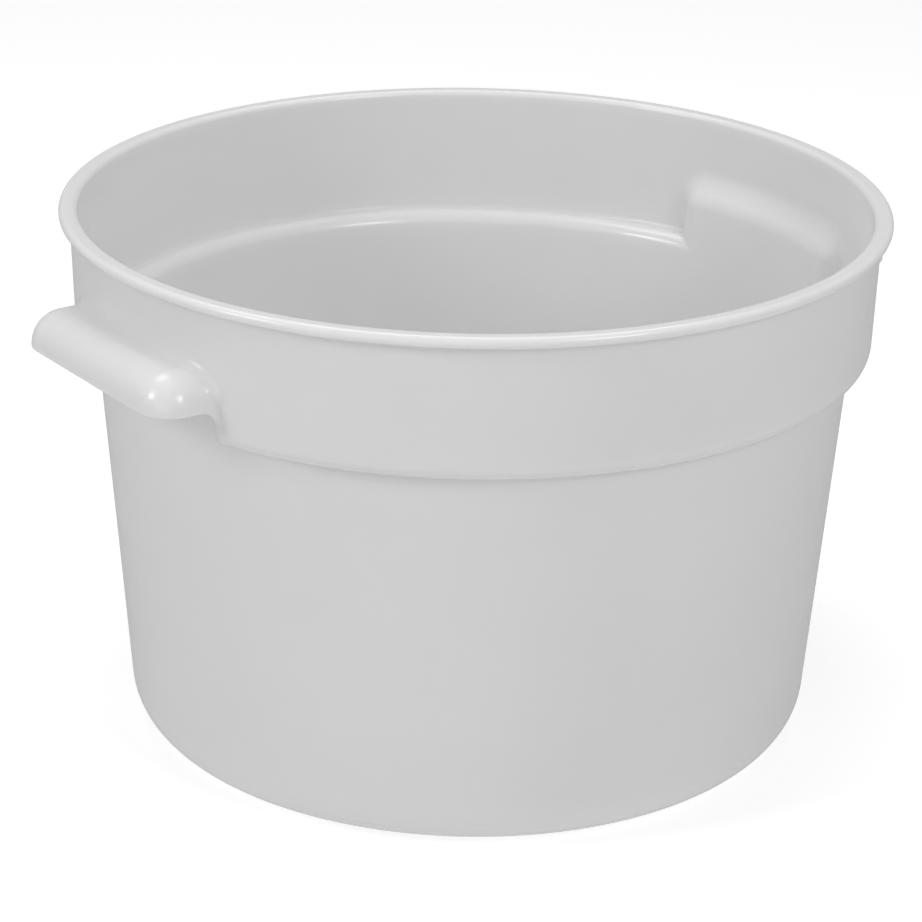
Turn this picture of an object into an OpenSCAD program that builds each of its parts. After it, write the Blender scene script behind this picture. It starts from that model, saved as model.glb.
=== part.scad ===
// Round food storage container with a stepped collar and two lift handles.
// One injection moulding in translucent white polyethylene. It is drawn here as the zones that
// its wall falls into, which meet face to face: floor, bottom corner, side wall, stacking
// shoulder, collar, rim bead and the two handle pockets.
// Millimetres. The origin is the centre of the circle the container stands on, Z points up and
// the handles lie along X.

/* [Body] */
// Height from the table to the top of the rim
height = 206.5; // [160:0.5:260]
// How far the side wall stands back from the collar's foot at the outside step
step_w = 7.8; // [5:0.1:10]
// How far the side wall leans in from the step down to the bottom corner
body_lean = 10.8; // [4:0.2:16]
// Outside radius of the bottom corner
corner_r = 20.5; // [8:0.5:30]
// Thickness of the side wall
wall = 3; // [2:0.1:4]

/* [Base] */
// Thickness of the floor
floor_t = 3.6; // [3:0.1:6]
// Width of the flat ring that the container stands on
foot_w = 9; // [4:0.5:20]
// Depth of the shallow recess inside the standing ring
foot_recess = 1.2; // [0.5:0.1:2]

/* [Shoulder and collar] */
// Outside diameter at the foot of the collar
collar_dia = 299; // [260:1:340]
// How far the collar leans out from its foot to the rim bead
collar_lean = 1.5; // [0:0.1:3]
// Height from the outside step to the top of the rim
collar_h = 55; // [46:0.5:64]
// Thickness of the collar wall
collar_wall = 2.9; // [2:0.1:4]
// Outside radius of the collar's lower edge
collar_edge_r = 7.5; // [5:0.25:9]
// Thickness of the shoulder between the outside step and the inside ledge
ledge_t = 5.5; // [4:0.25:7]
// Radius of the ledge's inner edge
ledge_edge_r = 2.6; // [1:0.1:3]
// Radius of the fillet where the ledge meets the collar
ledge_fillet_r = 2.4; // [1:0.1:3]

/* [Rim bead] */
// How far the bead stands out past the top of the collar
bead_w = 4; // [3:0.1:6]
// Height of the rim bead
bead_h = 4.2; // [3:0.1:6]
// Radius of the rounded inner edge of the bead
bead_inner_r = 1.2; // [0.5:0.1:1.5]

/* [Handles] */
// How far a handle stands out past the foot of the collar
handle_reach = 17.3; // [15:0.1:24]
// Length of a handle along the collar
handle_len = 99; // [80:1:110]
// Height of the top of a handle above the outside step
handle_rise = 29; // [26:0.5:34]
// Depth of the handle from its top to its lower lip
handle_drop = 14; // [13.5:0.5:18]
// Radius of the handle's outer edges and corners
handle_r = 13; // [8:0.5:13]
// Thickness of the skin around the finger pocket
skin = 3; // [2:0.1:3.5]
// Radius of the web where the handle's lip turns down into the collar
web_r = 7; // [4:0.5:8]

/* [Hidden] */
$fn = 144;

// Overrun of a cut past the face that it cuts
over = 1;
// Depth and angle by which two solids of one piece run into each other
overlap = 0.4;
overlap_turn = 1;
// Length of collar that each handle piece carries beyond the end of its handle
handle_margin = 4.5;
// Height of collar that each handle piece carries above its handle
handle_headroom = 4;

white = [0.84, 0.84, 0.84];
white_edge = [0.88, 0.88, 0.88];

step_z = height - collar_h;
collar_base_r = collar_dia / 2;
collar_top_r = collar_base_r + collar_lean;
rim_r = collar_top_r + bead_w;
body_top_r = collar_base_r - step_w;
body_base_r = body_top_r - body_lean;

// The side wall leans out by this angle
body_taper = atan((body_top_r - body_base_r) / (step_z - corner_r));
// Centre of the bottom corner's circle, which is tangent to the table and to the leaning wall
corner_x = body_base_r - corner_r / cos(body_taper);
floor_z = foot_recess + floor_t;
// Radius of the inside corner, which is tangent to the floor and to the wall's inner face
inside_corner_r = corner_r + (floor_z * sin(body_taper) - wall) / (1 - sin(body_taper));
// Height at which the bottom corner ends and the side wall begins
wall_z = floor_z + inside_corner_r;
collar_z = step_z + collar_edge_r;
bead_z = height - bead_h;
ledge_z = step_z + ledge_t;
ledge_out_r = collar_base_r - collar_wall;
// Everything in the section lies inside this radius
reach = rim_r + over;

handle_x = collar_base_r + handle_reach;
handle_half = handle_len / 2;
handle_top_z = step_z + handle_rise;
lip_z = handle_top_z - handle_drop;
notch_half = handle_half + handle_margin;
notch_z = handle_top_z + handle_headroom;
hood_front = handle_x - handle_r;
hood_side = handle_half - handle_r;
// The hood starts from this radius, in the middle of the collar wall
root_r = (collar_outer(collar_z) + collar_inner(notch_z)) / 2;
// Length of the block behind the hood's rounded front, which reaches inside that radius
hood_root = ceil(hood_front - sqrt(pow(root_r, 2) - pow(handle_half, 2)) + over);
// The pocket's corners are centred on this radius, which the hood overlaps
pocket_x = root_r + overlap;
// Radius of the pocket's top edge and corners, tangent to the side wall carried up
pocket_r = (pocket_x - body_inner(handle_top_z)) * cos(body_taper) / (1 - sin(body_taper));
pocket_turn = asin((handle_half - pocket_r) / pocket_x);
// Where the web's curve leaves the collar
web_x = sqrt(pow(collar_outer(lip_z - web_r), 2) - pow(handle_half, 2)) - overlap / 2;

// Outside radius of the side wall at height z, also continued above the step
function body_outer(z) = body_base_r + (z - corner_r) * tan(body_taper);
function body_inner(z) = body_outer(z) - wall / cos(body_taper);
// Outside and inside radius of the collar at height z
function collar_outer(z) =
    collar_base_r + (collar_top_r - collar_base_r) * (z - collar_z) / (bead_z - collar_z);
function collar_inner(z) = collar_outer(z) - collar_wall;

// Everything inside a side that leans out to the radius top_r at the height top, with a
// rounded corner of radius r at its bottom, low
module body_section(r, low, top_r, top) {
    turn = [r * cos(body_taper), r * (1 - sin(body_taper))];
    translate([0, low]) square([corner_x, r]);
    intersection() {
        translate([corner_x, low + r]) circle(r);
        translate([corner_x, low]) square([r + over, turn.y]);
    }
    polygon([[0, low + turn.y], [corner_x + turn.x, low + turn.y], [top_r, top], [0, top]]);
}

// Everything inside the outer surface of the body
module outer_section() {
    body_section(corner_r, 0, body_top_r, step_z);
    translate([0, step_z]) square([collar_base_r - collar_edge_r, collar_edge_r]);
    intersection() {
        translate([collar_base_r - collar_edge_r, collar_z]) circle(collar_edge_r);
        translate([0, step_z]) square([collar_base_r, collar_edge_r]);
    }
    polygon([[0, collar_z], [collar_base_r, collar_z], [collar_top_r, bead_z], [0, bead_z]]);
    bead_section();
}

// The rim bead: a flat-topped band with a full round outer edge
module bead_section() {
    translate([0, bead_z]) square([rim_r - bead_h / 2, bead_h]);
    translate([rim_r - bead_h / 2, bead_z + bead_h / 2]) circle(bead_h / 2);
}

// Everything inside the inner surface of the container
module inner_section() {
    body_section(inside_corner_r, floor_z, body_inner(ledge_z), ledge_z);
    ledge_edge();
    collar_space();
    mouth();
}

// The convex inner edge of the ledge
module ledge_edge() {
    edge_x = body_inner(ledge_z);
    difference() {
        translate([edge_x - over, ledge_z - ledge_edge_r])
            square([ledge_edge_r + over, ledge_edge_r + over]);
        translate([edge_x + ledge_edge_r, ledge_z - ledge_edge_r]) circle(ledge_edge_r);
    }
}

// The space inside the collar, with the fillet at the ledge
module collar_space() {
    corner = [ledge_out_r - ledge_fillet_r, ledge_z + ledge_fillet_r];
    translate([0, ledge_z]) square([corner.x, ledge_fillet_r]);
    intersection() {
        translate(corner) circle(ledge_fillet_r);
        translate([corner.x - over, ledge_z]) square([ledge_fillet_r + over, ledge_fillet_r]);
    }
    polygon([
        [0, corner.y],
        [collar_inner(corner.y), corner.y],
        [collar_inner(bead_z), bead_z],
        [collar_inner(bead_z), height],
        [0, height]
    ]);
}

// The rounded inner edge of the mouth
module mouth() {
    edge = [collar_inner(bead_z), height - bead_inner_r];
    difference() {
        translate([edge.x - over, edge.y]) square([bead_inner_r + over, bead_inner_r + over]);
        translate([edge.x + bead_inner_r, edge.y]) circle(bead_inner_r);
    }
}

// The stretch of a section between two heights
module between(low, high) {
    intersection() {
        children();
        translate([0, low]) square([reach, high - low]);
    }
}

module wall_section() {
    difference() {
        outer_section();
        inner_section();
    }
}

module wall_band(low, high) {
    rotate_extrude() between(low, high) wall_section();
}

// The part of the collar that belongs to the handle on the +X side
module notch(clear = 0) {
    translate([0, -notch_half, step_z - clear])
        cube([reach, 2 * notch_half, notch_z - step_z + clear]);
}

module both_sides() {
    children();
    rotate(180) children();
}

module both_ends() {
    children();
    mirror([0, 1, 0]) children();
}

// A rounded upper edge of radius r in section: from the straight side at low up to the flat top
module edge_section(r, low, top) {
    translate([0, low]) square([r, top - r - low]);
    intersection() {
        translate([0, top - r]) circle(r);
        translate([0, top - r]) square([r, r]);
    }
}

// The hood outside the collar: a block with rounded upper edges and corners, inset from the
// hood's outer surface. It starts inside the collar wall.
module hood(inset, low) {
    r = handle_r - inset;
    top = handle_top_z - inset;
    difference() {
        union() {
            translate([hood_front, hood_side, 0]) rotate([90, 0, 0]) linear_extrude(2 * hood_side) {
                edge_section(r, low, top);
                translate([-hood_root, low]) square([hood_root, top - low]);
            }
            both_ends() {
                translate([hood_front, hood_side, 0])
                    rotate_extrude(angle = 90) edge_section(r, low, top);
                translate([hood_front - hood_root, hood_side, 0]) rotate([90, 0, 90])
                    linear_extrude(hood_root) edge_section(r, low, top);
            }
        }
        translate([0, 0, low - over]) cylinder(h = top - low + 2 * over, r = root_r);
    }
}

// The web where each end of the hood's lip turns down into the collar
module web() {
    both_ends() translate([web_x, handle_half, lip_z - web_r]) rotate([90, 0, 0])
        linear_extrude(handle_r) difference() {
            translate([-overlap, 0]) square([web_r + overlap, web_r + overlap]);
            translate([web_r, overlap / 2]) circle(web_r);
        }
}

// The inner side of the pocket: the side wall carried up behind the collar, with a rounded top
// edge and rounded corners, inset from the surface that shows inside the container
module pocket(inset, low) {
    both_ends() rotate(pocket_turn) {
        mirror([0, 1, 0]) rotate_extrude(angle = pocket_turn + overlap_turn)
            translate([pocket_x, 0]) mirror([1, 0]) pocket_section(inset, low);
        translate([pocket_x, 0, 0]) mirror([1, 0, 0])
            rotate_extrude(angle = 90) pocket_section(inset, low);
    }
}

// Section of the pocket, measured inwards from the circle that its corners are centred on
module pocket_section(inset, low) {
    r = pocket_r - inset;
    centre_z = handle_top_z - pocket_r;
    foot = pocket_x - body_inner(low) - inset / cos(body_taper);
    turn = [r * cos(body_taper), r * sin(body_taper)];
    polygon([[0, low], [foot, low], [turn.x, centre_z + turn.y], [0, centre_z + turn.y]]);
    intersection() {
        translate([0, centre_z]) circle(r);
        translate([0, centre_z + turn.y]) square([r, r - turn.y]);
    }
}

// The floor with the ring that it stands on
module tub_floor() {
    color(white) rotate_extrude() difference() {
        intersection() {
            wall_section();
            square([corner_x, wall_z]);
        }
        translate([-over, -over]) square([corner_x - foot_w + over, foot_recess + over]);
    }
}

module bottom_corner() {
    color(white) rotate_extrude() intersection() {
        wall_section();
        translate([corner_x, 0]) square([reach - corner_x, wall_z]);
    }
}

module side_wall() {
    color(white) wall_band(wall_z, step_z);
}

module shoulder() {
    color(white) difference() {
        wall_band(step_z, collar_z);
        both_sides() notch(over);
    }
}

module collar() {
    color(white) difference() {
        wall_band(collar_z, bead_z);
        both_sides() notch();
    }
}

module rim_bead() {
    color(white_edge) wall_band(bead_z, height);
}

// One handle: its stretch of collar, the hood outside, and the finger pocket under the hood
module handle() {
    difference() {
        union() {
            intersection() {
                rotate_extrude() between(step_z, bead_z) outer_section();
                notch(over);
            }
            hood(0, lip_z);
            web();
        }
        difference() {
            rotate_extrude() between(step_z - over, bead_z) inner_section();
            pocket(0, ledge_z - ledge_edge_r + overlap);
        }
        pocket(skin, step_z - over);
        hood(skin, step_z - over);
    }
}

module handle_right() {
    color(white_edge) handle();
}

module handle_left() {
    color(white_edge) rotate(180) handle();
}

tub_floor();
bottom_corner();
side_wall();
shoulder();
collar();
rim_bead();
handle_left();
handle_right();
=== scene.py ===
"""Round food storage container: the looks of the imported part, its studio and its camera.

The container is one moulding, so it is one seamless mesh: a wall of revolution with a gap left
at each handle, and a dense patch of wall for each handle, laced into its gap. A patch is the
zero level of a signed distance, in which each edge and crease has a radius of its own.
"""

import math

import bpy
import numpy as np
from bpy.props import FloatProperty, FloatVectorProperty, PointerProperty
from mathutils import Matrix, Vector


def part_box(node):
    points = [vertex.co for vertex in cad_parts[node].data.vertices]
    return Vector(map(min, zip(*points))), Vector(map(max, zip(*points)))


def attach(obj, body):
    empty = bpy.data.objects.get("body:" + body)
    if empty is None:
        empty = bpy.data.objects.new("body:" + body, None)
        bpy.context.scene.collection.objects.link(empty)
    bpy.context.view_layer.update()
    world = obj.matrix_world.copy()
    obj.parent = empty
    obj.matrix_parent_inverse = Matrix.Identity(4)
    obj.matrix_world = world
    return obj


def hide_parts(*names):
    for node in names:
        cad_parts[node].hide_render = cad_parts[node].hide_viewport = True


bl_info = {
    "name": "Round food storage container",
    "version": (1, 0, 0),
    "blender": (4, 5, 0),
    "location": "3D View > Sidebar > Container",
    "description": "Builds a moulded food storage container over its CAD frame, and its studio",
    "category": "Add Mesh",
}

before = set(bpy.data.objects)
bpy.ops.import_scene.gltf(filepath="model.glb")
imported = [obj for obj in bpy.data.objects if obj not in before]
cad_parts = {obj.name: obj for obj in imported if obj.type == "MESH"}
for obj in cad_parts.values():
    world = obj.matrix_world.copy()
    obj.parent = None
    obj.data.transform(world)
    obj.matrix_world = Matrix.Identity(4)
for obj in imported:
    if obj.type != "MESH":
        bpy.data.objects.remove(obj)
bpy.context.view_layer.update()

MM = 0.001

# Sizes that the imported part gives
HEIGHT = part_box("rim_bead")[1].z
RIM_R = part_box("rim_bead")[1].x
BEAD_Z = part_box("rim_bead")[0].z
COLLAR_TOP_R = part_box("collar")[1].x
COLLAR_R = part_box("shoulder")[1].y
STEP_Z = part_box("side_wall")[1].z
HANDLE_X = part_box("handle_right")[1].x
FLOOR_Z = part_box("tub_floor")[1].z

# Sizes as in the part's source. It works the two of the pocket out, within 0.02 mm of these.
FOOT_RECESS = 1.2 * MM
FOOT_W = 9 * MM
STEP_W = 7.8 * MM
BODY_LEAN = 10.8 * MM
CORNER_R = 20.5 * MM
WALL = 3 * MM
COLLAR_WALL = 2.9 * MM
COLLAR_EDGE_R = 7.5 * MM
LEDGE_T = 5.5 * MM
HANDLE_HALF = 49.5 * MM
HANDLE_RISE = 29 * MM
HANDLE_DROP = 14 * MM
HANDLE_R = 13 * MM
SKIN = 3 * MM
POCKET_X = 148.9 * MM
POCKET_END = 8.5 * MM

# Radii that are nearer to the photograph than the source's
LEDGE_EDGE_R = 5 * MM
LEDGE_FILLET_R = 1.6 * MM
BEAD_INNER_R = 2 * MM

BODY_TOP_R = COLLAR_R - STEP_W
BODY_BASE_R = BODY_TOP_R - BODY_LEAN
COLLAR_Z = STEP_Z + COLLAR_EDGE_R
LEDGE_Z = STEP_Z + LEDGE_T
HANDLE_TOP_Z = STEP_Z + HANDLE_RISE
LIP_Z = HANDLE_TOP_Z - HANDLE_DROP
TAPER = math.atan(BODY_LEAN / (STEP_Z - CORNER_R))
LEAN = math.atan((COLLAR_TOP_R - COLLAR_R) / (BEAD_Z - COLLAR_Z))
INSIDE_CORNER_R = CORNER_R + (FLOOR_Z * math.sin(TAPER) - WALL) / (1 - math.sin(TAPER))
POCKET_TURN = math.asin((HANDLE_HALF - POCKET_END) / POCKET_X)

# How far a web reaches up into its hood
WEB_OVERLAP = 1 * MM

# Levels between which a radius grows to its full size
HOOD_ROOT_ZONE = (LIP_Z, LIP_Z + 7 * MM)
POCKET_FOOT_ZONE = (LEDGE_Z - 1 * MM, LEDGE_Z + 5 * MM)
OPENING_ZONE = (STEP_Z + 0.3 * MM, STEP_Z + 2.8 * MM)

# The mesh: columns all round, the gap at a handle, and how fine the patch and the section are
COLUMNS = 720
GAP_HALF_COLUMNS = 46
GAP_LOW_Z = STEP_Z - 2.7 * MM
GAP_HIGH_Z = HANDLE_TOP_Z + 9.5 * MM
NET_STEP = 0.6 * MM
NET_HALF_TURN = (GAP_HALF_COLUMNS - 1) * 2 * math.pi / COLUMNS
NET_MARGIN = 5 * MM
PROFILE_STEP = 6 * MM
PROFILE_TURN = math.radians(6)
ARC_STEP = 0.25 * MM
ARC_LEAST = 3
SAME_PLACE = 1e-7

# How points settle on the surface, and how often
SLOPE_STEP = 0.02 * MM
SLOPE_LEAST = 1e-6
MOVE_LEAST = 1e-12
MOVE_MOST = 0.3 * MM
SECTION_SETTLES = 4
NET_SETTLES = 3
EVENING_ROUNDS = 6
EVENING_SETTLES = 2

# The plastic: noises as scale per metre and detail, the range of a noise that counts, and how
# far tone and roughness stray over it
PLASTIC_IOR = 1.5
CLOUDS = (14, 3)
CLOUD_RANGE = (0.3, 0.7)
CLOUD_TONES = (0.985, 1.01)
HANDLING = (38, 5)
HANDLING_RANGE = (0.35, 0.7)
HANDLING_ROUGHNESS = (-0.03, 0.05)
WAVES = (26, 1)
GRAIN = (1400, 2)

# The studio: angles in degrees, lengths in metres, and the lens and its sensor in millimetres.
# The camera's turns are its yaw, pitch and roll away from the target.
CAMERA_SENSOR = 36
CAMERA_LENS = 137.3
CAMERA_REACH = 50
CAMERA_AZIMUTH = -35.2
CAMERA_ELEVATION = 22.29
CAMERA_DISTANCE = 1.356
CAMERA_TARGET_Z = 0.08525
CAMERA_TURNS = (-0.1666, 0.6299, 1.1123)
FLOOR_HALF = 6
FLOOR_ROUGHNESS = 0.8
SOFTBOX_DISTANCE = 1.7

# Each softbox has its turn from the camera towards the right, its elevation, and its width and
# height. StudioLook has its power under the same name.
SOFTBOXES = {
    "overhead": (-165, 86, (1.3, 0.9)),
    "overhead_gloss": (-163, 68, (1.7, 0.7)),
    "left": (-63, 30, (0.42, 0.42)),
    "right": (38, 32.5, (0.42, 0.42)),
    "below": (0, -90, (2.4, 2.4)),
    "front": (-20, 10, (1.4, 0.8)),
}


# Signed distances

def join(a, b, r):
    """Union of two solids with a fillet of radius r in the corner between them."""
    corner = np.hypot(np.maximum(r - a, 0), np.maximum(r - b, 0))
    return np.maximum(r, np.minimum(a, b)) - corner


def meet(a, b, r):
    """What two solids share, with an edge of radius r where their surfaces cross."""
    edge = np.hypot(np.maximum(r + a, 0), np.maximum(r + b, 0))
    return np.minimum(-r, np.maximum(a, b)) + edge


def body_x(z, inset=0):
    """Radius of the tapering wall at a height, an inset inside its outer face."""
    return BODY_BASE_R + (z - CORNER_R) * math.tan(TAPER) - inset / math.cos(TAPER)


def collar_x(z, inset=0):
    """Radius of the collar's wall at a height, an inset inside its outer face."""
    return COLLAR_R + (z - COLLAR_Z) * math.tan(LEAN) - inset / math.cos(LEAN)


def body(radius, z, inset):
    """The tapering wall, moved inwards by an inset."""
    return (radius - body_x(z)) * math.cos(TAPER) + inset


def collar(radius, z, inset):
    """The collar's wall, moved inwards by an inset."""
    return (radius - collar_x(z)) * math.cos(LEAN) + inset


def step_crease(crease_r):
    """Radius in the crease under the collar, where the collar's own edge leaves little room."""
    return crease_r / 4


def wall_outside(radius, z, crease_r):
    """What the outer faces of the wall and of the collar hold, with the step between them."""
    block = meet(collar(radius, z, 0), STEP_Z - z, COLLAR_EDGE_R)
    return join(body(radius, z, 0), block, step_crease(crease_r))


def wall_inside(radius, z):
    """The space in the container, with the ledge behind the step."""
    space = meet(collar(radius, z, COLLAR_WALL), LEDGE_Z - z, LEDGE_FILLET_R)
    return join(body(radius, z, WALL), space, LEDGE_EDGE_R)


def fade_in(z, low, high):
    """0 below the first level, 1 above the second, and even between them."""
    return np.clip((z - low) / (high - low), 0, 1)


def wall_with_handle(edges):
    """The wall's signed distance, with the handle on +X."""
    crease_r, hood_root_r = edges.crease_r, edges.hood_root_r
    lip_r, web_r = edges.lip_r, edges.web_r
    pocket_r, foot_r = edges.pocket_r, edges.pocket_foot_r

    def distance(x, y, z):
        y = np.abs(y)
        radius = np.hypot(x, y)
        out = wall_outside(radius, z, crease_r)
        space = wall_inside(radius, z)

        # The hood, and the webs that turn its lip down into the collar
        along = x - (HANDLE_X - HANDLE_R)
        across = y - (HANDLE_HALF - HANDLE_R)
        plan = np.hypot(np.maximum(along, 0), np.maximum(across, 0)) - HANDLE_R
        plan = plan + np.minimum(np.maximum(along, across), 0)
        hood = meet(plan, z - HANDLE_TOP_Z, HANDLE_R)
        web = join(collar(radius, z, 0), LIP_Z - z, web_r)
        web = np.maximum(web, np.maximum(z - LIP_Z - WEB_OVERLAP, COLLAR_Z - z))
        web = np.maximum(web, x - HANDLE_X + HANDLE_R)
        web = meet(web, y - HANDLE_HALF, lip_r)
        root_r = crease_r + (hood_root_r - crease_r) * fade_in(z, *HOOD_ROOT_ZONE)
        out = join(out, np.minimum(meet(hood, LIP_Z - z, lip_r), web), root_r)

        # The pocket inside carries the tapering wall up, past the ledge and behind the collar
        end = y * math.cos(POCKET_TURN) - x * math.sin(POCKET_TURN) - POCKET_END
        pocket = meet(-body(radius, z, WALL), end, pocket_r)
        pocket = meet(pocket, z - HANDLE_TOP_Z, pocket_r)
        space = meet(space, -pocket, foot_r * fade_in(z, *POCKET_FOOT_ZONE))

        # The fingers' hollow between the pocket and the hood is open below
        hollow = meet(-body(radius, z, 0), end + SKIN, pocket_r - SKIN)
        hollow = meet(hollow, z - HANDLE_TOP_Z + SKIN, pocket_r - SKIN)
        hollow = np.maximum(hollow, hood + SKIN)
        opening_r = lip_r * fade_in(z, *OPENING_ZONE)
        return meet(np.maximum(out, -space), -hollow, opening_r)

    return distance


def slope(distance, points):
    """Gradient of a signed distance."""
    result = np.empty_like(points)
    for axis in range(3):
        aside = np.zeros(3)
        aside[axis] = SLOPE_STEP
        ahead, behind = distance(*(points + aside).T), distance(*(points - aside).T)
        result[:, axis] = (ahead - behind) / (2 * SLOPE_STEP)
    return result


def settle(distance, points, rounds):
    """Moves points onto the zero level of a signed distance."""
    for _ in range(rounds):
        way = slope(distance, points)
        size = np.maximum((way * way).sum(1), SLOPE_LEAST)
        move = distance(*points.T)[:, None] * way / size[:, None]
        length = np.maximum(np.linalg.norm(move, axis=1, keepdims=True), MOVE_LEAST)
        points = points - move * np.minimum(1, MOVE_MOST / length)
    return points


def surface_net(distance, axes):
    """Points and quads near the zero level, on a grid of turn, height and radius."""
    turn, z, radius = np.meshgrid(*axes, indexing="ij")
    value = distance(radius * np.cos(turn), radius * np.sin(turn), z)
    used, place = net_places(value)
    number = np.zeros(used.shape, int)
    number[used] = np.arange(used.sum())
    turn, z, radius = (a[0] + place[:, i] * (a[1] - a[0]) for i, a in enumerate(axes))
    points = np.stack([radius * np.cos(turn), radius * np.sin(turn), z], 1)
    return points, net_quads(value < 0, number)


def net_places(value):
    """Which cells the zero level crosses, and where in the grid the point of each lies: in the
    middle of the crossings of its edges."""
    solid = value < 0
    cells = tuple(n - 1 for n in value.shape)
    total = np.zeros(cells + (3,))
    count = np.zeros(cells)
    for axis in range(3):
        low, high = ends_of(axis, slice(None))
        crossed = solid[low] != solid[high]
        share = np.where(crossed, value[low] / np.where(crossed, value[low] - value[high], 1), 0)
        others = [a for a in range(3) if a != axis]
        for i, j in ((0, 0), (0, 1), (1, 0), (1, 1)):
            part = [slice(None)] * 3
            part[others[0]] = slice(i, i + cells[others[0]])
            part[others[1]] = slice(j, j + cells[others[1]])
            place = np.zeros(cells + (3,))
            place[..., axis] = share[tuple(part)]
            place[..., others[0]] = i
            place[..., others[1]] = j
            total += place * crossed[tuple(part)][..., None]
            count += crossed[tuple(part)]
    used = count > 0
    return used, np.argwhere(used) + total[used] / count[used][:, None]


def net_quads(solid, number):
    """A quad round each grid edge that leaves or enters the solid, facing out of it."""
    cells = number.shape
    quads = []
    for axis in range(3):
        low, high = ends_of(axis, slice(1, -1))
        others = [a for a in range(3) if a != axis]
        corners = []
        for i, j in ((0, 0), (1, 0), (1, 1), (0, 1)):
            part = [slice(None)] * 3
            part[others[0]] = slice(i, i + cells[others[0]] - 1)
            part[others[1]] = slice(j, j + cells[others[1]] - 1)
            corners.append(number[tuple(part)])
        corners = np.stack(corners, -1)
        for leaving in (True, False):
            faces = corners[(solid[low] != solid[high]) & (solid[low] == leaving)]
            quads.append(faces[:, ::-1] if leaving == (axis == 1) else faces)
    return np.concatenate(quads)


def ends_of(axis, across):
    """The lower and the upper neighbour of each grid edge along an axis."""
    low, high = [across] * 3, [across] * 3
    low[axis], high[axis] = slice(None, -1), slice(1, None)
    return tuple(low), tuple(high)


def edges_of(faces):
    """Each edge once, and how many faces it has."""
    sides = np.concatenate([faces[:, [i, (i + 1) % 4]] for i in range(4)])
    return np.unique(np.sort(sides, 1), axis=0, return_counts=True)


def even_out(distance, points, faces):
    """Slides points along the surface towards the middle of their neighbours."""
    pairs, uses = edges_of(faces)
    free = np.ones((len(points), 1), bool)
    free[pairs[uses == 1]] = False
    near = np.bincount(pairs.ravel(), minlength=len(points))[:, None]
    for _ in range(EVENING_ROUNDS):
        total = np.zeros_like(points)
        for here, there in ((0, 1), (1, 0)):
            for axis in range(3):
                weight = points[pairs[:, there], axis]
                total[:, axis] += np.bincount(pairs[:, here], weight, len(points))
        slid = np.where(free, (points + total / near) / 2, points)
        points = settle(distance, slid, EVENING_SETTLES)
    return points


def rim_loops(faces):
    """The closed loops of edges that have one face."""
    pairs, uses = edges_of(faces)
    beside = {}
    for a, b in pairs[uses == 1]:
        beside.setdefault(a, []).append(b)
        beside.setdefault(b, []).append(a)
    loops = []
    left = set(beside)
    while left:
        here = left.pop()
        loop = [here]
        while True:
            ahead = [v for v in beside[here] if v in left]
            if not ahead:
                break
            here = ahead[0]
            left.remove(here)
            loop.append(here)
        loops.append(np.array(loop))
    return loops


def lace(points, first, second):
    """Triangles between two loops that run beside each other. The second one is first turned,
    and reversed if need be, to start and run as the other does."""
    start = np.linalg.norm(points[second] - points[first[0]], axis=1).argmin()
    second = np.roll(second, -start)
    quarter, other = len(first) // 4, len(second) // 4
    ahead = np.linalg.norm(points[first[quarter]] - points[second[other]])
    behind = np.linalg.norm(points[first[quarter]] - points[second[-other]])
    if behind < ahead:
        second = np.roll(second[::-1], 1)
    first, second = np.append(first, first[0]), np.append(second, second[0])
    i = j = 0
    triangles = []
    while i < len(first) - 1 or j < len(second) - 1:
        a, b = points[first[i]], points[second[j]]
        to_first = to_second = np.inf
        if i < len(first) - 1:
            to_first = np.linalg.norm(points[first[i + 1]] - b)
        if j < len(second) - 1:
            to_second = np.linalg.norm(points[second[j + 1]] - a)
        if to_first < to_second:
            triangles.append((first[i], first[i + 1], second[j]))
            i += 1
        else:
            triangles.append((first[i], second[j + 1], second[j]))
            j += 1
    return np.array(triangles)


# The wall of revolution

def unit(way):
    """A direction of length one."""
    return way / np.linalg.norm(way)


def outward(start, end):
    """The outward direction of a side of the section, which has its solid on the left."""
    way = unit(end - start)
    return np.array([way[1], -way[0]])


def rounded_corner(before, place, after, rounding):
    """Points on the arc that rounds a corner, and their outward directions."""
    back, ahead = unit(before - place), unit(after - place)
    half = math.acos(np.clip(back @ ahead, -1, 1)) / 2
    centre = place + unit(back + ahead) * rounding / math.sin(half)
    sides = outward(before, place), outward(place, after)
    bulge = 1 if sides[0][0] * sides[1][1] > sides[0][1] * sides[1][0] else -1
    turned = math.pi - 2 * half
    count = min(turned / PROFILE_TURN, turned * rounding / ARC_STEP)
    count = max(ARC_LEAST, math.ceil(count))
    first, last = (math.atan2(*(bulge * side)[::-1]) for side in sides)
    last = first + (last - first + math.pi) % (2 * math.pi) - math.pi
    angle = first + (last - first) * np.linspace(0, 1, count + 1)[:, None]
    way = np.hstack([np.cos(angle), np.sin(angle)])
    return centre + rounding * way, bulge * way


def rounded_path(corners):
    """Points along a path of corners (radius, height, rounding), and their outward directions."""
    places = np.array([c[:2] for c in corners])
    points, ways = [], []
    for k, (place, rounding) in enumerate(zip(places, [c[2] for c in corners])):
        before, after = places[max(k - 1, 0)], places[min(k + 1, len(places) - 1)]
        if rounding:
            arc, arc_ways = rounded_corner(before, place, after, rounding)
        else:
            pairs = ((before, place), (place, after))
            sides = [outward(*pair) for pair in pairs if any(pair[0] != pair[1])]
            arc, arc_ways = place[None], unit(sum(sides))[None]
        if points:
            gap = arc[0] - points[-1]
            count = max(1, round(np.linalg.norm(gap) / PROFILE_STEP))
            for _ in range(1, count):
                points.append(points[-1] + gap / count)
                ways.append(outward(before, place))
            if np.linalg.norm(gap) < SAME_PLACE:
                arc, arc_ways = arc[1:], arc_ways[1:]
        points.extend(arc)
        ways.extend(arc_ways)
    return np.array(points), np.array(ways)


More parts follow.
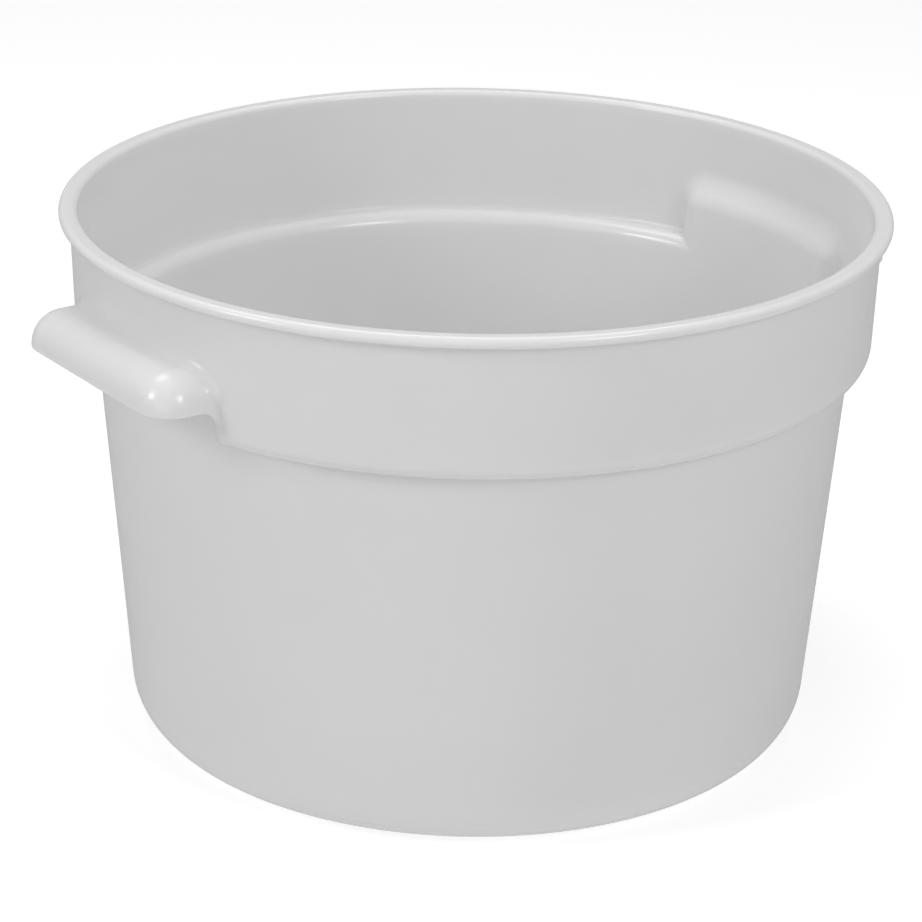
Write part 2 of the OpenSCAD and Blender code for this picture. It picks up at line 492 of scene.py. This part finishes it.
def wall_corners(crease_r, foot_r):
    """The section from under the floor up outside, over the rim, and down inside."""
    ring_x = BODY_BASE_R - CORNER_R / math.cos(TAPER) - FOOT_W
    bead_r = (HEIGHT - BEAD_Z) / 2
    mouth_x = collar_x(BEAD_Z, COLLAR_WALL)
    return [
        (0, FOOT_RECESS, 0),
        (ring_x, FOOT_RECESS, foot_r),
        (ring_x, 0, foot_r),
        (body_x(0), 0, CORNER_R),
        (body_x(GAP_LOW_Z), GAP_LOW_Z, 0),
        (body_x(STEP_Z), STEP_Z, step_crease(crease_r)),
        (collar_x(STEP_Z), STEP_Z, COLLAR_EDGE_R),
        (collar_x(GAP_HIGH_Z), GAP_HIGH_Z, 0),
        (COLLAR_TOP_R, BEAD_Z, crease_r),
        (RIM_R, BEAD_Z, bead_r),
        (RIM_R, HEIGHT, bead_r),
        (mouth_x, HEIGHT, BEAD_INNER_R),
        (mouth_x, BEAD_Z, 0),
        (collar_x(GAP_HIGH_Z, COLLAR_WALL), GAP_HIGH_Z, 0),
        (collar_x(LEDGE_Z, COLLAR_WALL), LEDGE_Z, LEDGE_FILLET_R),
        (body_x(LEDGE_Z, WALL), LEDGE_Z, LEDGE_EDGE_R),
        (body_x(GAP_LOW_Z, WALL), GAP_LOW_Z, 0),
        (body_x(FLOOR_Z, WALL), FLOOR_Z, INSIDE_CORNER_R),
        (0, FLOOR_Z, 0),
    ]


def wall_section(distance, crease_r, foot_r):
    """The wall's section and its outward directions. Beside the patches it settles on the same
    signed distance, so that they meet it without a step."""
    section, ways = rounded_path(wall_corners(crease_r, foot_r))
    near = (section[:, 1] > GAP_LOW_Z - NET_STEP) & (section[:, 1] < GAP_HIGH_Z + NET_STEP)
    across = np.stack([np.zeros(near.sum()), section[near, 0], section[near, 1]], 1)
    across = settle(distance, across, SECTION_SETTLES)
    section[near] = across[:, 1:]
    ways[near] = slope(distance, across)[:, 1:]
    return section, ways / np.linalg.norm(ways, axis=1, keepdims=True)


def spun(pairs, turn):
    """Pairs of a radius and a height, each spun round the axis into a row of points."""
    ring = pairs[:, None, 0]
    height = np.repeat(pairs[:, None, 1], len(turn), 1)
    return np.stack([ring * np.cos(turn), ring * np.sin(turn), height], -1).reshape(-1, 3)


def in_gap(height):
    """Which quads between rows at these heights make way for a patch."""
    inside = (height > GAP_LOW_Z - NET_STEP / 10) & (height < GAP_HIGH_Z + NET_STEP / 10)
    column = np.arange(COLUMNS) % (COLUMNS // 2)
    from_handle = np.minimum(column, COLUMNS // 2 - 1 - column)
    return (inside[:-1] & inside[1:])[:, None] & (from_handle < GAP_HALF_COLUMNS)


def wall_mesh(section, ways):
    """Points, outward directions and faces of the wall, open at both handles."""
    turn = np.arange(COLUMNS) * 2 * math.pi / COLUMNS
    ends = [0, 0, section[0, 1]], [0, 0, section[-1, 1]]
    points = np.vstack([spun(section[1:-1], turn), *ends])
    normals = np.vstack([spun(ways[1:-1], turn), [0, 0, -1], [0, 0, 1]])

    rows = len(section) - 2
    column = np.arange(COLUMNS)
    after = (column + 1) % COLUMNS
    low = np.arange(rows - 1)[:, None] * COLUMNS
    high = low + COLUMNS
    quads = np.stack([low + column, low + after, high + after, high + column], -1)
    quads = quads[~in_gap(section[1:-1, 1])]

    last = (rows - 1) * COLUMNS
    low_end, high_end = (np.full(COLUMNS, len(points) - back) for back in (2, 1))
    triangles = np.vstack(
        [
            np.stack([low_end, after, column], 1),
            np.stack([high_end, last + column, last + after], 1),
        ]
    )
    return points, normals, quads, triangles


def handle_patch(distance):
    """Points, outward directions and quads of the stretch of wall with the handle on +X."""
    grid_step = 2 * NET_HALF_TURN / round(2 * NET_HALF_TURN * COLLAR_R / NET_STEP)
    axes = (
        np.arange(-NET_HALF_TURN, NET_HALF_TURN + grid_step / 2, grid_step),
        np.arange(GAP_LOW_Z + NET_STEP / 2, GAP_HIGH_Z, NET_STEP),
        np.arange(BODY_BASE_R + NET_MARGIN, HANDLE_X + NET_MARGIN, NET_STEP),
    )
    points, quads = surface_net(distance, axes)
    points = even_out(distance, settle(distance, points, NET_SETTLES), quads)
    normals = slope(distance, points)
    return points, normals / np.linalg.norm(normals, axis=1, keepdims=True), quads


def facing(points, normals, triangles):
    """The triangles, each turned to face outwards."""
    a, b, c = (points[triangles[:, i]] for i in range(3))
    flat = np.cross(b - a, c - a)
    wrong = (flat * normals[triangles].sum(1)).sum(1) < 0
    triangles = triangles.copy()
    triangles[wrong] = triangles[wrong][:, ::-1]
    return triangles


def container_mesh(edges):
    """The whole container: points, outward directions, quads and triangles."""
    distance = wall_with_handle(edges)
    section, ways = wall_section(distance, edges.crease_r, edges.foot_r)
    points, normals, quads, triangles = wall_mesh(section, ways)
    gaps = [loop for loop in rim_loops(quads) if len(loop) != COLUMNS]
    patch_points, patch_normals, patch_quads = handle_patch(distance)
    all_points, all_normals = [points], [normals]
    all_quads, all_triangles = [quads], [triangles]
    count = len(points)
    loops = rim_loops(patch_quads)
    for side in (1, -1):
        # The left patch is the right one turned half round
        flip = np.array([side, side, 1])
        all_points.append(patch_points * flip)
        all_normals.append(patch_normals * flip)
        all_quads.append(patch_quads + count)
        joined = np.vstack(all_points)
        joined_normals = np.vstack(all_normals)
        for loop in loops:
            own = loop + count
            middle = joined[own].mean(0)
            gap = min(gaps, key=lambda g: np.linalg.norm(points[g].mean(0) - middle))
            laced = lace(joined, gap, own)
            all_triangles.append(facing(joined, joined_normals, laced))
        count += len(patch_points)
    return without_spare_points(
        joined, joined_normals, np.vstack(all_quads), np.vstack(all_triangles)
    )


def without_spare_points(points, normals, quads, triangles):
    """The mesh without the points that no face uses."""
    used = np.zeros(len(points), bool)
    used[quads] = True
    used[triangles] = True
    number = np.cumsum(used) - 1
    return points[used], normals[used], number[quads], number[triangles]


def mesh_from(name, points, normals, quads, triangles):
    """A smooth mesh with its own directions."""
    mesh = bpy.data.meshes.new(name)
    corners = np.concatenate([quads.ravel(), triangles.ravel()])
    sizes = np.repeat([4, 3], [len(quads), len(triangles)])
    mesh.vertices.add(len(points))
    mesh.vertices.foreach_set("co", points.ravel())
    mesh.loops.add(len(corners))
    mesh.loops.foreach_set("vertex_index", corners)
    mesh.polygons.add(len(sizes))
    mesh.polygons.foreach_set("loop_start", np.cumsum(sizes) - sizes)
    mesh.update(calc_edges=True)
    mesh.validate()
    mesh.polygons.foreach_set("use_smooth", np.ones(len(sizes), bool))
    mesh.normals_split_custom_set_from_vertices(normals)
    mesh.update()
    return mesh


# Materials

def add_node(tree, kind, **values):
    """A shader node with its sockets and settings."""
    node = tree.nodes.new(kind)
    for name, value in values.items():
        if name in node.inputs:
            node.inputs[name].default_value = value
        else:
            setattr(node, name, value)
    return node


def add_noise(tree, place, scale, detail):
    """Noise over the object's own coordinates, and its value from 0 to 1."""
    noise = add_node(tree, "ShaderNodeTexNoise", Scale=scale, Detail=detail)
    tree.links.new(place, noise.inputs["Vector"])
    return noise.outputs["Fac"]


def add_range(tree, value, source, target):
    """A value moved from one range to another."""
    node = add_node(tree, "ShaderNodeMapRange")
    for name, number in zip(("From Min", "From Max", "To Min", "To Max"), (*source, *target)):
        node.inputs[name].default_value = number
    tree.links.new(value, node.inputs["Value"])
    return node.outputs["Result"]


def add_bump(tree, height, depth, below=None):
    """A bump of the given depth, on top of the one below."""
    node = add_node(tree, "ShaderNodeBump", Strength=1, Distance=depth)
    tree.links.new(height, node.inputs["Height"])
    if below:
        tree.links.new(below, node.inputs["Normal"])
    return node.outputs["Normal"]


def add_tint(tree, colour, tone):
    """A colour times a tone. The node has a socket A, B and Result for each kind of data, so
    the ones for colour go by number."""
    node = add_node(tree, "ShaderNodeMix", data_type="RGBA", blend_type="MULTIPLY")
    node.inputs["Factor"].default_value = 1
    node.inputs[6].default_value = (*colour, 1)
    tree.links.new(tone, node.inputs[7])
    return node.outputs[2]


def polyethylene(look):
    """Semi-gloss white polyethylene that lets a little light through. The wall is slightly
    wavy, its skin has a fine grain, and its gloss is uneven from handling."""
    material = bpy.data.materials.new("white_polyethylene")
    material.use_nodes = True
    tree = material.node_tree
    shader = tree.nodes["Principled BSDF"]
    shader.inputs["Base Color"].default_value = (*look.colour, 1)
    shader.inputs["Roughness"].default_value = look.roughness
    shader.inputs["IOR"].default_value = PLASTIC_IOR
    shader.inputs["Subsurface Weight"].default_value = look.translucency
    shader.inputs["Subsurface Scale"].default_value = look.depth
    shader.inputs["Subsurface Radius"].default_value = (1, 1, 1)

    place = add_node(tree, "ShaderNodeTexCoord").outputs["Object"]
    tone = add_range(tree, add_noise(tree, place, *CLOUDS), CLOUD_RANGE, CLOUD_TONES)
    tree.links.new(add_tint(tree, look.colour, tone), shader.inputs["Base Color"])

    spread = [look.roughness + change for change in HANDLING_ROUGHNESS]
    gloss = add_range(tree, add_noise(tree, place, *HANDLING), HANDLING_RANGE, spread)
    tree.links.new(gloss, shader.inputs["Roughness"])

    waves = add_bump(tree, add_noise(tree, place, *WAVES), look.wave_depth)
    grain = add_bump(tree, add_noise(tree, place, *GRAIN), look.grain_depth, waves)
    tree.links.new(grain, shader.inputs["Normal"])
    return material


def floor_material(colour, glow):
    """A matt floor that gives off a little light."""
    material = bpy.data.materials.new("studio_floor")
    material.use_nodes = True
    shader = material.node_tree.nodes["Principled BSDF"]
    shader.inputs["Base Color"].default_value = (*colour, 1)
    shader.inputs["Roughness"].default_value = FLOOR_ROUGHNESS
    shader.inputs["Emission Color"].default_value = (1, 1, 1, 1)
    shader.inputs["Emission Strength"].default_value = glow
    return material


# Camera and lights

def camera_matrix():
    """The camera's axes and place, from a fit of the rim, the step and the base to the
    photograph."""
    elevation = math.radians(CAMERA_ELEVATION)
    yaw, pitch, roll = (math.radians(angle) for angle in CAMERA_TURNS)
    forward = Vector((0, math.cos(elevation), -math.sin(elevation)))
    right = Vector((1, 0, 0))
    up = right.cross(forward)
    forward, right = (
        forward * math.cos(yaw) + right * math.sin(yaw),
        right * math.cos(yaw) - forward * math.sin(yaw),
    )
    forward, up = (
        forward * math.cos(pitch) + up * math.sin(pitch),
        up * math.cos(pitch) - forward * math.sin(pitch),
    )
    right, up = (
        right * math.cos(roll) + up * math.sin(roll),
        up * math.cos(roll) - right * math.sin(roll),
    )
    back = CAMERA_DISTANCE * math.cos(elevation)
    place = (0, -back, CAMERA_TARGET_Z + CAMERA_DISTANCE * math.sin(elevation))
    axes = Matrix((right, up, -forward)).transposed().to_4x4()
    turn = Matrix.Rotation(math.radians(CAMERA_AZIMUTH), 4, "Z")
    return turn @ Matrix.Translation(place) @ axes


def add_camera():
    """The photograph's camera, as the scene's own."""
    data = bpy.data.cameras.new("camera")
    data.sensor_width = CAMERA_SENSOR
    data.lens = CAMERA_LENS
    data.clip_end = CAMERA_REACH
    camera = bpy.data.objects.new("camera", data)
    camera.matrix_world = camera_matrix()
    bpy.context.collection.objects.link(camera)
    bpy.context.scene.camera = camera


def add_softbox(name, turn, elevation, size, power):
    """A softbox that looks at the container from the given turn and elevation."""
    turn, elevation = math.radians(turn), math.radians(elevation)
    data = bpy.data.lights.new(name, "AREA")
    data.shape = "RECTANGLE"
    data.size, data.size_y = size
    data.energy = power
    way = Vector(
        (
            math.cos(elevation) * math.sin(turn),
            -math.cos(elevation) * math.cos(turn),
            math.sin(elevation),
        )
    )
    way.rotate(Matrix.Rotation(math.radians(CAMERA_AZIMUTH), 3, "Z"))
    light = bpy.data.objects.new(name, data)
    place = Matrix.Translation(way * SOFTBOX_DISTANCE + Vector((0, 0, HEIGHT / 2)))
    light.matrix_world = place @ way.to_track_quat("Z", "Y").to_matrix().to_4x4()
    bpy.context.collection.objects.link(light)
    return light


# Settings

class ContainerEdges(bpy.types.PropertyGroup):
    """Radii of the moulding's edges and creases"""

    crease_r: FloatProperty(
        name="Crease",
        description="Radius in the creases under the collar and under the rim",
        default=0.8 * MM,
        min=0.2 * MM,
        max=1.2 * MM,
        subtype="DISTANCE",
        unit="LENGTH",
    )
    hood_root_r: FloatProperty(
        name="Hood root",
        description="Radius in the crease between a handle's hood and the collar",
        default=4 * MM,
        min=0.5 * MM,
        max=6 * MM,
        subtype="DISTANCE",
        unit="LENGTH",
    )
    lip_r: FloatProperty(
        name="Lip",
        description="Radius of the edges of a handle's lip and of its opening",
        default=0.9 * MM,
        min=0.2 * MM,
        max=1.4 * MM,
        subtype="DISTANCE",
        unit="LENGTH",
    )
    web_r: FloatProperty(
        name="Web",
        description="Radius where a handle's lip turns down into the collar",
        default=7 * MM,
        min=2 * MM,
        max=8 * MM,
        subtype="DISTANCE",
        unit="LENGTH",
    )
    pocket_r: FloatProperty(
        name="Pocket",
        description="Radius of the edges of a finger pocket inside the container",
        default=10 * MM,
        min=4 * MM,
        max=12 * MM,
        subtype="DISTANCE",
        unit="LENGTH",
    )
    pocket_foot_r: FloatProperty(
        name="Pocket crease",
        description="Radius in the crease between a finger pocket and the collar",
        default=5 * MM,
        min=0.5 * MM,
        max=6 * MM,
        subtype="DISTANCE",
        unit="LENGTH",
    )
    foot_r: FloatProperty(
        name="Standing ring",
        description="Radius of the edges of the recess under the floor",
        default=0.5 * MM,
        min=0.1 * MM,
        max=0.6 * MM,
        subtype="DISTANCE",
        unit="LENGTH",
    )


class PlasticLook(bpy.types.PropertyGroup):
    """Colour, gloss and skin of the plastic"""

    colour: FloatVectorProperty(
        name="Colour",
        description="Colour of the plastic",
        subtype="COLOR",
        size=3,
        default=(0.78, 0.78, 0.78),
        min=0,
        max=1,
    )
    roughness: FloatProperty(
        name="Roughness",
        description="Mean roughness of the moulded surface",
        default=0.2,
        min=0,
        max=1,
        subtype="FACTOR",
    )
    translucency: FloatProperty(
        name="Translucency",
        description="Share of the light that goes into the plastic",
        default=0.9,
        min=0,
        max=1,
        subtype="FACTOR",
    )
    depth: FloatProperty(
        name="Depth",
        description="How far light travels in the plastic",
        default=6 * MM,
        min=0,
        max=10 * MM,
        subtype="DISTANCE",
        unit="LENGTH",
    )
    wave_depth: FloatProperty(
        name="Waves",
        description="Depth of the slight waves in the moulded wall",
        default=0.15 * MM,
        min=0,
        max=1 * MM,
        subtype="DISTANCE",
        unit="LENGTH",
    )
    grain_depth: FloatProperty(
        name="Grain",
        description="Depth of the fine grain of the moulded skin",
        default=0.006 * MM,
        min=0,
        max=0.1 * MM,
        subtype="DISTANCE",
        unit="LENGTH",
    )


class StudioLook(bpy.types.PropertyGroup):
    """Floor and lights"""

    floor_colour: FloatVectorProperty(
        name="Floor",
        description="Colour of the studio floor",
        subtype="COLOR",
        size=3,
        default=(0.78, 0.78, 0.78),
        min=0,
        max=1,
    )
    floor_glow: FloatProperty(
        name="Floor glow",
        description="Light that the floor gives off by itself, as a light table does",
        default=0.46,
        min=0,
        max=2,
    )
    surroundings: FloatProperty(
        name="Surroundings",
        description="Brightness of the surroundings",
        default=0.435,
        min=0,
        max=3,
    )
    overhead: FloatProperty(
        name="Overhead softbox",
        description="Power of the softbox over the container",
        default=8.8,
        min=0,
        max=200,
        subtype="POWER",
        unit="POWER",
    )
    overhead_gloss: FloatProperty(
        name="Overhead reflection",
        description="Power of the softbox over the container that only shows in reflections",
        default=12,
        min=0,
        max=200,
        subtype="POWER",
        unit="POWER",
    )
    left: FloatProperty(
        name="Left softbox",
        description="Power of the softbox to the left of the camera",
        default=5.0,
        min=0,
        max=200,
        subtype="POWER",
        unit="POWER",
    )
    right: FloatProperty(
        name="Right softbox",
        description="Power of the softbox to the right of the camera",
        default=5.2,
        min=0,
        max=200,
        subtype="POWER",
        unit="POWER",
    )
    below: FloatProperty(
        name="Light from below",
        description="Power of the softbox under the floor, which stands for light off a table",
        default=17,
        min=0,
        max=200,
        subtype="POWER",
        unit="POWER",
    )
    front: FloatProperty(
        name="Front softbox",
        description="Power of the large softbox beside the camera",
        default=3.2,
        min=0,
        max=200,
        subtype="POWER",
        unit="POWER",
    )


# Operators

class CONTAINER_OT_moulding(bpy.types.Operator):
    """Build the moulding over the CAD solids"""

    bl_idname = "container.moulding"
    bl_label = "Moulding"

    def execute(self, context):
        mesh = mesh_from("container", *container_mesh(context.scene.container_edges))
        container = bpy.data.objects.new("container", mesh)
        context.collection.objects.link(container)
        mesh.materials.append(polyethylene(context.scene.container_plastic))
        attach(container, "root")
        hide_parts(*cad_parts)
        return {"FINISHED"}


class CONTAINER_OT_studio(bpy.types.Operator):
    """Build the floor, the lights and the camera"""

    bl_idname = "container.studio"
    bl_label = "Studio"

    def execute(self, context):
        look = context.scene.container_studio
        mesh = bpy.data.meshes.new("studio_floor")
        half = FLOOR_HALF
        corners = [(-half, -half, 0), (half, -half, 0), (half, half, 0), (-half, half, 0)]
        mesh.from_pydata(corners, [], [(0, 1, 2, 3)])
        floor = bpy.data.objects.new("studio_floor", mesh)
        context.collection.objects.link(floor)
        mesh.materials.append(floor_material(look.floor_colour, look.floor_glow))
        # Only the camera sees the floor, and light passes it from below, so that the plastic is
        # lit as evenly as in the cut-out
        floor.visible_diffuse = False
        floor.visible_glossy = False
        floor.visible_transmission = False
        floor.visible_shadow = False

        world = bpy.data.worlds.new("studio")
        world.use_nodes = True
        background = world.node_tree.nodes["Background"]
        background.inputs["Color"].default_value = (1, 1, 1, 1)
        background.inputs["Strength"].default_value = look.surroundings
        context.scene.world = world

        add_camera()
        lights = {
            name: add_softbox("softbox_" + name, *place, getattr(look, name))
            for name, place in SOFTBOXES.items()
        }
        lights["overhead"].visible_glossy = False
        lights["overhead_gloss"].visible_diffuse = False
        lights["overhead_gloss"].visible_transmission = False
        lights["below"].visible_glossy = False
        context.scene.view_settings.view_transform = "Standard"
        return {"FINISHED"}


class CONTAINER_PT_panel(bpy.types.Panel):
    """Sizes, looks and steps of the container"""

    bl_idname = "CONTAINER_PT_panel"
    bl_label = "Container"
    bl_space_type = "VIEW_3D"
    bl_region_type = "UI"
    bl_category = "Container"

    def draw(self, context):
        for settings in (
            context.scene.container_edges,
            context.scene.container_plastic,
            context.scene.container_studio,
        ):
            box = self.layout.box()
            for name in settings.__annotations__:
                box.prop(settings, name)
        for operator in (CONTAINER_OT_moulding, CONTAINER_OT_studio):
            self.layout.operator(operator.bl_idname)


CLASSES = (
    ContainerEdges,
    PlasticLook,
    StudioLook,
    CONTAINER_OT_moulding,
    CONTAINER_OT_studio,
    CONTAINER_PT_panel,
)


def register():
    for each in CLASSES:
        bpy.utils.register_class(each)
    bpy.types.Scene.container_edges = PointerProperty(type=ContainerEdges)
    bpy.types.Scene.container_plastic = PointerProperty(type=PlasticLook)
    bpy.types.Scene.container_studio = PointerProperty(type=StudioLook)


def unregister():
    del bpy.types.Scene.container_studio
    del bpy.types.Scene.container_plastic
    del bpy.types.Scene.container_edges
    for each in reversed(CLASSES):
        bpy.utils.unregister_class(each)


def main():
    register()
    bpy.ops.container.moulding()
    bpy.ops.container.studio()


if __name__ == "__main__":
    main()
